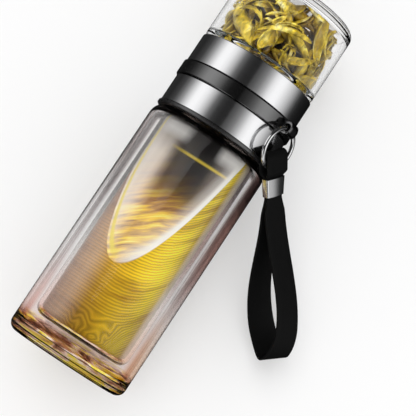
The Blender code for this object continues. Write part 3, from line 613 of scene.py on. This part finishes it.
def tea_body(tea, surface):
    """The tea, settled to the low side of the lying flask."""
    r = LINER - LINER_WALL - TEA_CLEAR
    floor = LINER_FOOT + LINER_FLOOR + TEA_CLEAR
    profile = [(0, floor)] + arc(r - LINER_INSIDE, floor + LINER_INSIDE, LINER_INSIDE, -90, 0)
    profile += [(r, z) for z in range(60, TEA_TOP + 1, 10)] + [(0, TEA_TOP)]
    verts, faces = lathe(profile, 160)
    tidy = bmesh.new()
    for v in verts:
        tidy.verts.new(v)
    tidy.verts.ensure_lookup_table()
    for f in faces:
        tidy.faces.new([tidy.verts[i] for i in f])
    cut = bmesh.ops.bisect_plane(tidy, geom=tidy.verts[:] + tidy.edges[:] + tidy.faces[:],
                                 plane_co=AXIS * TEA_LEVEL, plane_no=TEA_TILT, clear_outer=True)
    rim = [g for g in cut["geom_cut"] if isinstance(g, bmesh.types.BMEdge)]
    bmesh.ops.holes_fill(tidy, edges=rim, sides=0)
    bmesh.ops.recalc_face_normals(tidy, faces=tidy.faces)
    for v in tidy.verts:
        v.co *= MM
    for f in tidy.faces:
        f.smooth = True
        f.material_index = 1 if f.normal.dot(TEA_TILT) > 0.99 else 0
    mesh = bpy.data.meshes.new("tea")
    tidy.to_mesh(mesh)
    tidy.free()
    mesh.materials.append(tea)
    mesh.materials.append(surface)
    mesh.set_sharp_from_angle(angle=math.radians(30))
    made = show("tea", mesh)
    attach(made, "glass_body")


# -------- collars
def steel_sleeve(name, low, high, inner_low, body, steel):
    """A drawn sleeve with a rolled bead at both ends."""
    profile = [(inner_low, low + SLEEVE_WALL), (inner_low, low)]
    profile += arc(SLEEVE - BEAD_LOW, low + BEAD_LOW, BEAD_LOW, -90, 0, 5)
    profile += arc(SLEEVE - BEAD_HIGH, high - BEAD_HIGH, BEAD_HIGH, 0, 90, 5)
    profile += [(SLEEVE_MOUTH, high), (SLEEVE_MOUTH, high - SLEEVE_WALL),
                (SLEEVE - SLEEVE_WALL, high - SLEEVE_WALL), (SLEEVE - SLEEVE_WALL, low + SLEEVE_WALL)]
    made = new_piece(name + "_steel", *lathe(profile), steel, body)
    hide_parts(name)


def core_pieces(moulding):
    """The moulded rings under the two steel sleeves, as (radius, height) round their sections."""
    made = new_piece("lower_moulding", *lathe([
        (29.4, 132.3), (32.0, 132.3), (32.35, 132.4), (32.6, 132.7), (32.6, 133.9), (32.4, 134.0),
        (31.0, 134.0), (31.0, 148.5), (29.4, 148.5), (29.4, 156.3), (30.1, 156.4), (30.1, 156.8),
        (29.6, 157.3), (28.0, 157.3), (28.0, 164.3), (27.5, 164.8), (25.7, 164.8), (25.2, 164.3),
        (25.2, 148.8), (21.8, 148.8), (21.8, 147.0), (29.4, 147.0)], 160), moulding, "lower_collar")
    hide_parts("lower_core")
    made = new_piece("upper_moulding", *lathe([
        (28.4, 158.4), (31.0, 158.4), (31.0, 172.2), (29.1, 172.2), (29.1, 168.3), (25.6, 168.3),
        (25.6, 166.8), (28.4, 166.8)], 160), moulding, "tea_lid")
    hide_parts("upper_core")


def thread(name, radius, low, high, look, body):
    """A raised screw thread: one ridge that runs round and up, thin at both ends."""
    steps = int(THREAD_STEPS * THREAD_TURNS)
    verts = []
    for i in range(steps + 1):
        share = i / steps
        t = FULL * THREAD_TURNS * share
        z = low + (high - low) * share
        tall = THREAD_RISE * min(1.0, 8 * share, 8 * (1 - share)) + 0.01
        for out, up in ((-0.15, -0.55), (tall, -0.18), (tall, 0.18), (-0.15, 0.55)):
            verts.append(((radius + out) * math.cos(t), (radius + out) * math.sin(t), z + up))
    rows = rows_of(steps + 1, 4)
    made = new_piece(name, verts, skin(rows, closed=False) + [rows[0], rows[-1][::-1]], look, body)


# -------- band, ring and strap
def band_pieces(look):
    """The glossy band and its lug, with the flared hole for the ring."""
    profile = arc(BAND - BAND_ROUND, BAND_LOW + BAND_ROUND, BAND_ROUND, -90, 0, 5)
    profile += arc(BAND - BAND_ROUND, BAND_TOP - BAND_ROUND, BAND_ROUND, 0, 90, 5)
    profile += [(BAND_RELIEF, BAND_TOP), (BAND_RELIEF, BAND_STEP), (BAND_BORE, BAND_STEP),
                (BAND_BORE, BAND_LOW)]
    verts, faces = lathe(profile, 192)
    shift, steps = len(verts), 48
    # The lug's width in stations, with how far its rounded edges draw in
    stations = [(-LUG_HALF, 0.45), (-3.36, 0.14), (-3.1, 0), (-1.6, 0), (0, 0), (1.6, 0), (3.1, 0),
                (3.36, 0.14), (LUG_HALF, 0.45)]
    for y, inset in stations:
        tall = LUG_TALL - inset
        outline = []
        for k in range(steps):
            t = FULL * (k + 0.5) / steps
            c, s = math.cos(t), math.sin(t)
            if c >= 0:
                outline.append(1 / math.hypot(c / (LUG_FRONT - inset), s / tall))
            else:
                outline.append(min(LUG_BACK / abs(c), tall / max(abs(s), 1e-6)))
        hole = LUG_HOLE + LUG_FLARE * (abs(y) / LUG_HALF) ** 2
        for k, r in enumerate(outline + [hole] * steps):
            t = FULL * (k % steps + 0.5) / steps
            verts.append((LUG_X + r * math.cos(t), y, BAND_MID + r * math.sin(t)))
    last = len(stations) - 1
    for k in range(steps):
        n = (k + 1) % steps
        for row in range(last):
            a, b = shift + 2 * steps * row, shift + 2 * steps * (row + 1)
            faces.append((a + k, a + n, b + n, b + k))
            faces.append((a + steps + k, b + steps + k, b + steps + n, a + steps + n))
        for row in (0, last):
            a = shift + 2 * steps * row
            faces.append((a + k, a + steps + k, a + steps + n, a + n))
    made = new_piece("glossy_band", verts, faces, look, "band")
    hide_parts("strap_band")


def ring_piece(look):
    """The wire ring that hangs in the lug."""
    verts = []
    around, across = 128, 24
    for i in range(around):
        a = FULL * i / around
        for k in range(across):
            t = FULL * k / across
            r = RING + WIRE * math.cos(t)
            verts.append((LUG_X + WIRE * math.sin(t), r * math.sin(a), RING_Z + r * math.cos(a)))
    made = new_piece("split_ring", verts, skin(rows_of(around, across)), look, "ring")
    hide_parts("strap_ring")


def strap_frame():
    """Where the strap meets the wire, and the ways along it, across it and through it."""
    side, out, place = math.radians(STRAP_SIDE), math.radians(STRAP_OUT), math.radians(STRAP_PLACE)
    in_ring = Vector((0, math.sin(side), -math.cos(side)))
    across = Vector((0, math.cos(side), math.sin(side)))
    along = in_ring * math.cos(out) + Vector((math.sin(out), 0, 0))
    through = along.cross(across)
    wire = Vector((LUG_X, RING * math.sin(place), RING_Z - RING * math.cos(place)))
    # Over the strap's width the round wire bends by rise, and the strap leans on it
    aside = side - place
    edge = STRAP_WIDTH / 2 + RING * math.sin(aside)
    rise = RING * math.cos(aside) - math.sqrt(RING ** 2 - edge ** 2)
    return wire + through * (rise / 2 * math.tan(out)), along, across, through


def strap_route():
    """One half of the strap's closed route, from over the ring to the loop's end: how far it
    stands off the middle, how far down it is, and its width there."""
    wide = FOLD_GAP + STRAP_THICK / 2
    pressed = GAP / 2 + STRAP_THICK / 2
    clip_wide, clip_narrow = CLIP_WIDE - CLIP_PLAY, CLIP_NARROW - CLIP_PLAY
    half = []
    # Over the ring
    for i in range(14):
        t = math.pi / 2 * i / 14
        half.append((wide * math.sin(t), -FOLD_RISE - wide * math.cos(t), STRAP_WIDTH))
    # Down beside it, pressed together and narrowed for the clip
    for i in range(16):
        s = -FOLD_RISE + (CLIP_TOP + FOLD_RISE) * i / 16
        close = ease(FOLD_DROP, CLIP_TOP, s)
        half.append((wide + (pressed - wide) * close, s, STRAP_WIDTH + (clip_wide - STRAP_WIDTH) * close))
    half.append((pressed, CLIP_TOP, clip_wide))
    # Out of the clip, widening to the loop
    for i in range(61):
        share = i / 60
        s = CLIP_LOW + (STRAP_WIDEST - CLIP_LOW) * share
        half.append((pressed + (STRAP_LOOP - pressed) * (1 - math.cos(math.pi * share)) / 2, s,
                     clip_narrow + (STRAP_WIDTH - clip_narrow) * ease(0, 10, s - CLIP_LOW)))
    # Round the loop's squared-off end
    for i in range(1, 37):
        t = math.pi / 2 * i / 36
        n = STRAP_LOOP * math.cos(t) ** SQUARED if i < 36 else 0.0
        half.append((n, STRAP_WIDEST + (STRAP_LENGTH - STRAP_WIDEST) * math.sin(t) ** SQUARED, STRAP_WIDTH))
    return half


def strap_piece(look):
    """One flat strap, folded over the ring, held by the clip, and open in a turned loop."""
    wire, along, across, through = strap_frame()
    half = strap_route()
    route = half + [(-n, s, w) for n, s, w in half[1:-1]][::-1]
    lower = [(-1, -0.55), (-0.985, -0.85), (-0.95, -1), (-0.5, -1), (0, -1), (0.5, -1), (0.95, -1),
             (0.985, -0.85), (1, -0.55)]
    section = lower + [(x, -y) for x, y in lower[::-1]]
    verts = []
    for i, (n, s, w) in enumerate(route):
        before, after = route[i - 1], route[(i + 1) % len(route)]
        heading = Vector((after[0] - before[0], after[1] - before[1])).normalized()
        turn = 0.0
        if s > CLIP_LOW:
            # The two sides of the loop turn at different places, so they part
            power = 6.8 if i < len(half) else 2.6
            turn = math.radians(LOOP_TURN) * min((s - CLIP_LOW) / (STRAP_LENGTH - CLIP_LOW), 1.0) ** power
        out = through * math.cos(turn) - across * math.sin(turn)
        side = across * math.cos(turn) + through * math.sin(turn)
        for x, y in section:
            verts.append(wire + out * (n - y * heading.y * STRAP_THICK / 2)
                         + along * (s + y * heading.x * STRAP_THICK / 2) + side * (x * w / 2))
    faces = skin(rows_of(len(route), len(section)))
    made = new_piece("wrist_loop", verts, faces, look, "wrist_strap", smooth=50)
    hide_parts("strap")


def clip_piece(look):
    """The bright folded clip on the strap, slightly narrower below, with rounded lips."""
    wire, along, across, through = strap_frame()
    depth = GAP / 2 + STRAP_THICK + GAP + CLIP_WALL
    verts = []

    def loop(s, inset, radius):
        """One loop round the clip. Its outer loops have a low crown on the two broad faces."""
        half_w = (CLIP_WIDE + (CLIP_NARROW - CLIP_WIDE) * (s - CLIP_TOP) / (CLIP_LOW - CLIP_TOP)) / 2 - inset
        half_d = depth - inset
        crown = CLIP_CROWN if inset < 0.3 else 0.0
        points = []
        for cx, cy, turn in ((1, 1, 0), (-1, 1, 90), (-1, -1, 180), (1, -1, 270)):
            points += arc(cx * (half_w - radius), cy * (half_d - radius), radius, turn, turn + 90, 6)
            for i in range(1, 12) if turn in (0, 180) else []:
                points.append((cx * (half_w - radius) * (1 - i / 6),
                               cy * (half_d + crown * math.sin(math.pi * i / 12))))
        start = len(verts)
        verts.extend(wire + along * s + across * x + through * y for x, y in points)
        return list(range(start, len(verts)))

    loops = [loop(CLIP_TOP + 0.12, 0, 0.8), loop(CLIP_LOW - 0.12, 0, 0.8), loop(CLIP_LOW, 0.12, 0.7),
             loop(CLIP_LOW, 0.32, 0.55), loop(CLIP_LOW - 0.1, 0.4, 0.5), loop(CLIP_TOP + 0.1, 0.4, 0.5),
             loop(CLIP_TOP, 0.32, 0.55), loop(CLIP_TOP, 0.12, 0.7)]
    made = new_piece("strap_clip", verts, skin(loops), look, "wrist_strap")
    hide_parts("ferrule")


# -------- leaves
def leaf_shape(name, roll, bend, twist, slim):
    """One rolled leaf, a unit long: a pointed strip curled over its length, closed all round."""
    rings, width = 14, 5
    tip = math.sin(bend / 2) / bend
    lift = (1 - math.cos(bend / 2)) / bend
    verts, rows = [(-tip, 0, lift)], []
    spread = [2 * k / (width - 1) - 1 for k in range(width)]
    for i in range(1, rings):
        t = i / rings
        w = slim * math.sin(math.pi * t ** 0.85) ** 0.75
        angle = bend * (t - 0.5)
        centre = Vector((math.sin(angle) / bend, 0, (1 - math.cos(angle)) / bend))
        turn = Matrix.Rotation(-angle, 3, "Y") @ Matrix.Rotation(twist * (t - 0.5), 3, "X")
        rows.append(list(range(len(verts), len(verts) + 2 * width)))
        for deep, sides in ((1 / roll, spread), (1 / roll - LEAF_THICK, spread[::-1])):
            for s in sides:
                curl = roll * s
                p = Vector((0, w * deep * math.sin(curl), w * ((1 / roll) - deep * math.cos(curl))))
                verts.append(tuple(centre + turn @ p))
    verts.append((tip, 0, lift))
    faces = skin(rows, closed=False)
    for k in range(2 * width):
        n = (k + 1) % (2 * width)
        faces.append((0, rows[0][n], rows[0][k]))
        faces.append((len(verts) - 1, rows[-1][k], rows[-1][n]))
    mesh = bpy.data.meshes.new(name)
    mesh.from_pydata(verts, [], faces)
    mesh.shade_smooth()
    return show(name, mesh)


def leaf_heap_tree(shapes, look):
    """Geometry nodes: one of the leaf shapes on each point, turned and sized by the points."""
    tree = bpy.data.node_groups.new("leaf_heap", "GeometryNodeTree")
    tree.interface.new_socket("Geometry", in_out="INPUT", socket_type="NodeSocketGeometry")
    size = tree.interface.new_socket("Leaf length", in_out="INPUT", socket_type="NodeSocketFloat")
    tree.interface.new_socket("Geometry", in_out="OUTPUT", socket_type="NodeSocketGeometry")
    heap = Nodes(tree)
    points, length = heap.put("NodeGroupInput").outputs[:2]
    every = heap.put("GeometryNodeJoinGeometry")
    for shape in shapes:
        info = heap.put("GeometryNodeObjectInfo")
        info.inputs["Object"].default_value = shape
        info.inputs["As Instance"].default_value = True
        heap.join(info.outputs["Geometry"], every.inputs[0])
    given = {}
    for name, kind in (("turn", "FLOAT_VECTOR"), ("size", "FLOAT"), ("shape", "INT")):
        node = heap.put("GeometryNodeInputNamedAttribute", data_type=kind)
        node.inputs["Name"].default_value = name
        given[name] = node.outputs["Attribute"]
    rotation = heap.put("FunctionNodeEulerToRotation")
    heap.join(given["turn"], rotation.inputs[0])
    spread = heap.put("GeometryNodeInstanceOnPoints")
    size_here = heap.times(given["size"], length)
    heap.feed([spread.inputs[key] for key in (
        "Points", "Instance", "Pick Instance", "Instance Index", "Rotation", "Scale")],
        (points, every.outputs[0], True, given["shape"], rotation.outputs[0], size_here))
    real = heap.put("GeometryNodeRealizeInstances")
    heap.join(spread.outputs[0], real.inputs[0])
    paint = heap.put("GeometryNodeSetMaterial")
    paint.inputs["Material"].default_value = look
    heap.join(real.outputs[0], paint.inputs[0])
    heap.join(paint.outputs[0], heap.put("NodeGroupOutput").inputs[0])
    return tree, size.identifier


def leaves(look):
    """Rolled leaves heaped in the chamber, pressed in by its wall."""
    dice = random.Random(11)
    shapes = [leaf_shape("leaf_a", 1.7, 1.5, 1.0, 0.16), leaf_shape("leaf_b", 2.3, -2.3, -1.6, 0.13),
              leaf_shape("leaf_c", 1.3, 0.9, 2.2, 0.19), leaf_shape("leaf_d", 2.7, 3.0, 0.8, 0.10)]
    spots, turns, sizes, kinds = [], [], [], []
    for i in range(LEAF_COUNT):
        r = SPOT_RADIUS * math.sqrt(dice.uniform(0.30, 1.0))
        a = dice.uniform(0, FULL)
        z = dice.uniform(SPOT_LOW, SPOT_HIGH)
        spots.append((r * math.cos(a) * MM, r * math.sin(a) * MM, z * MM))
        # Most leaves lie along the wall
        turns.append((dice.uniform(0, 6.28), dice.gauss(0, 0.8), a + math.pi / 2 + dice.gauss(0, 0.35)))
        sizes.append(dice.uniform(0.65, 1.25))
        kinds.append(dice.randrange(4))
    mesh = bpy.data.meshes.new("leaf_spots")
    mesh.from_pydata(spots, [], [])
    for name, kind, key, values in (("turn", "FLOAT_VECTOR", "vector", turns),
                                    ("size", "FLOAT", "value", sizes), ("shape", "INT", "value", kinds)):
        layer = mesh.attributes.new(name, kind, "POINT")
        for i, value in enumerate(values):
            setattr(layer.data[i], key, value)
    heap = show("leaf_spots", mesh)
    tree, length = leaf_heap_tree(shapes, look)
    step = heap.modifiers.new("leaf_heap", "NODES")
    step.node_group = tree
    step[length] = LEAF_LENGTH * MM
    bpy.context.view_layer.update()
    seen = heap.evaluated_get(bpy.context.evaluated_depsgraph_get())
    made_mesh = bpy.data.meshes.new_from_object(seen)
    for v in made_mesh.vertices:
        r = math.hypot(v.co.x, v.co.y) / MM
        # The chamber's wall draws in towards its top
        limit = HEAP_WALL - 3.0 * ease(203, 210, v.co.z / MM)
        if r > limit:
            keep = (limit - 0.25 * min(r - limit, 3)) / r
            v.co.x *= keep
            v.co.y *= keep
        v.co.z = min(max(v.co.z, HEAP_LOW * MM), HEAP_HIGH * MM)
    made_mesh.shade_smooth()
    for old in shapes + [heap]:
        bpy.data.objects.remove(old, do_unlink=True)
    made = show("tea_leaves", made_mesh)
    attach(made, "tea_lid")
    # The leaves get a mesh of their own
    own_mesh(made)


# -------- camera, table and light
def camera():
    """The photograph's view, in which the flask's axis is tilted away and rolled to the right."""
    tilt, roll = math.radians(TILT), math.radians(ROLL)
    up = Vector((math.sin(roll) * math.cos(tilt), math.cos(roll) * math.cos(tilt), -math.sin(tilt)))
    right = Vector((math.cos(roll), -math.sin(roll), 0))
    away = up.cross(right)
    ex = math.sin(LUG_TURN) * right - math.cos(LUG_TURN) * away
    ey = math.cos(LUG_TURN) * right + math.sin(LUG_TURN) * away
    turn = Matrix((ex, ey, up))
    place = MIDDLE - turn @ FROM_CAMERA
    data = bpy.data.cameras.new("camera")
    data.sensor_width = 36
    data.lens = LENS / PICTURE * data.sensor_width
    data.clip_start = 0.01
    seen = show("camera", data)
    seen.matrix_world = Matrix.Translation(place * MM) @ turn.to_4x4()
    bpy.context.scene.camera = seen


def table():
    """The pale table under the flask: it takes shadows, and is clear from below."""
    look = Look("table", Base_Color=(0.925, 0.925, 0.925), Roughness=1.0, Specular_IOR_Level=0.0)
    path = look.put("ShaderNodeLightPath").outputs
    white = look.put("ShaderNodeEmission")
    white.inputs["Color"].default_value = (WHITE, WHITE, WHITE, 1)
    seen = look.math("MAXIMUM", path["Is Camera Ray"],
                     look.math("MAXIMUM", path["Is Glossy Ray"], path["Is Transmission Ray"]))
    lit = look.swap(look.times(seen, 0.3), look.shader.outputs[0], white.outputs[0])
    back = look.put("ShaderNodeNewGeometry").outputs["Backfacing"]
    look.surface(look.swap(back, lit, look.put("ShaderNodeBsdfTransparent").outputs[0]))
    middle = MIDDLE - LIE * TABLE_DROP
    corners = [middle + AXIS * a * TABLE_REACH + ACROSS * b * TABLE_REACH
               for a, b in ((-1, -1), (1, -1), (1, 1), (-1, 1))]
    mesh = bpy.data.meshes.new("table")
    mesh.from_pydata([c * MM for c in corners], [], [(0, 1, 2, 3)])
    mesh.materials.append(look.material)
    made = show("table", mesh)
    bpy.context.view_layer.update()
    if mesh.polygons[0].normal.dot(LIE) < 0:
        mesh.flip_normals()
    made.visible_glossy = False


def linear(level):
    """A level on screen, 0 to 255, as light."""
    v = level / 255
    return v / 12.92 if v <= 0.04045 else ((v + 0.055) / 1.055) ** 2.4


def studio():
    """White to the camera, also through glass, the studio in mirrors, even light on dull surfaces."""
    world = bpy.data.worlds.new("studio")
    bpy.context.scene.world = world
    world.use_nodes = True
    sky = Nodes(world.node_tree)
    sky.tree.nodes.clear()

    def background(colour):
        node = sky.put("ShaderNodeBackground")
        sky.feed([node.inputs["Color"]], [colour])
        return node.outputs[0]

    turn = sky.put("ShaderNodeVectorRotate", rotation_type="Z_AXIS")
    turn.inputs["Angle"].default_value = LUG_TURN
    sky.join(sky.put("ShaderNodeTexCoord").outputs["Generated"], turn.inputs["Vector"])
    x, y, z = sky.split(turn.outputs[0])
    around = sky.ramp(sky.plus(sky.math("DIVIDE", sky.math("ARCTAN2", y, x), FULL), 0.5),
                      [(half / 180 + 0.5, linear(level) / STEEL_WHITE) for half, level in STUDIO])
    along = sky.ramp(sky.plus(sky.times(z, 0.5), 0.5), ROOM)
    path = sky.put("ShaderNodeLightPath").outputs
    by_gloss = sky.swap(sky.math("GREATER_THAN", path["Glossy Depth"], 0.5),
                        background((WHITE,) * 3), background(sky.tint(around, along)))
    by_diffuse = sky.swap(sky.math("GREATER_THAN", path["Diffuse Depth"], 0.5),
                          by_gloss, background((SOFT,) * 3))
    sky.join(by_diffuse, sky.put("ShaderNodeOutputWorld").inputs["Surface"])

    data = bpy.data.lights.new("key", "SUN")
    data.energy = 0.9
    data.angle = math.radians(45)
    key = show("key", data)
    # From the picture's upper left, in front of it
    toward = bpy.context.scene.camera.matrix_world.to_3x3() @ Vector((0.05, 0.65, 1.0))
    key.matrix_world = toward.to_track_quat("Z", "Y").to_matrix().to_4x4()
    key.visible_glossy = False


# -------- the scene
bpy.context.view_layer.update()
camera()

steel = steel_look("polished_steel", (0.84, 0.84, 0.85)).material
chrome = steel_look("chrome", (0.9, 0.9, 0.91)).material
moulding = plastic_look("moulding_black", (0.008, 0.008, 0.008), 0.28, 1.8, 0.7).material
glossy_black = plastic_look("band_black", (0.002, 0.002, 0.002), 0.10, 2.0, 0.85).material
rubber = silicone_look().material
pierced = pierced_steel_look().material
liner_glass = glass_look("liner_clear", (1.0, 1.0, 0.985), 0.30).material

glass_pieces(jacket_look().material, liner_glass, glass_look("chamber_clear", (1.0, 1.0, 1.0), 0.40).material)
tea_body(tea_side_look().material, tea_surface_look().material)
steel_sleeve("lower_sleeve", 134.3, 149.3, 31.3, "lower_collar", steel)
steel_sleeve("upper_sleeve", 157.6, 173.0, 28.4, "tea_lid", steel)
core_pieces(moulding)
thread("neck_thread", NECK, 136.0, 141.5, liner_glass, "glass_body")
thread("mouth_thread", 28.0, 158.6, 163.6, moulding, "lower_collar")
band_pieces(glossy_black)
ring_piece(chrome)
strap_piece(strap_look().material)
clip_piece(chrome)
leaves(leaf_look().material)
for name, look in (("body_gasket", rubber), ("collar_gasket", rubber), ("chamber_gasket", rubber),
                   ("strainer_seal", rubber), ("strainer", pierced)):
    node = bpy.data.objects[name]
    node.data.materials.clear()
    node.data.materials.append(look)
table()
studio()
bpy.context.scene.view_settings.view_transform = "Standard"
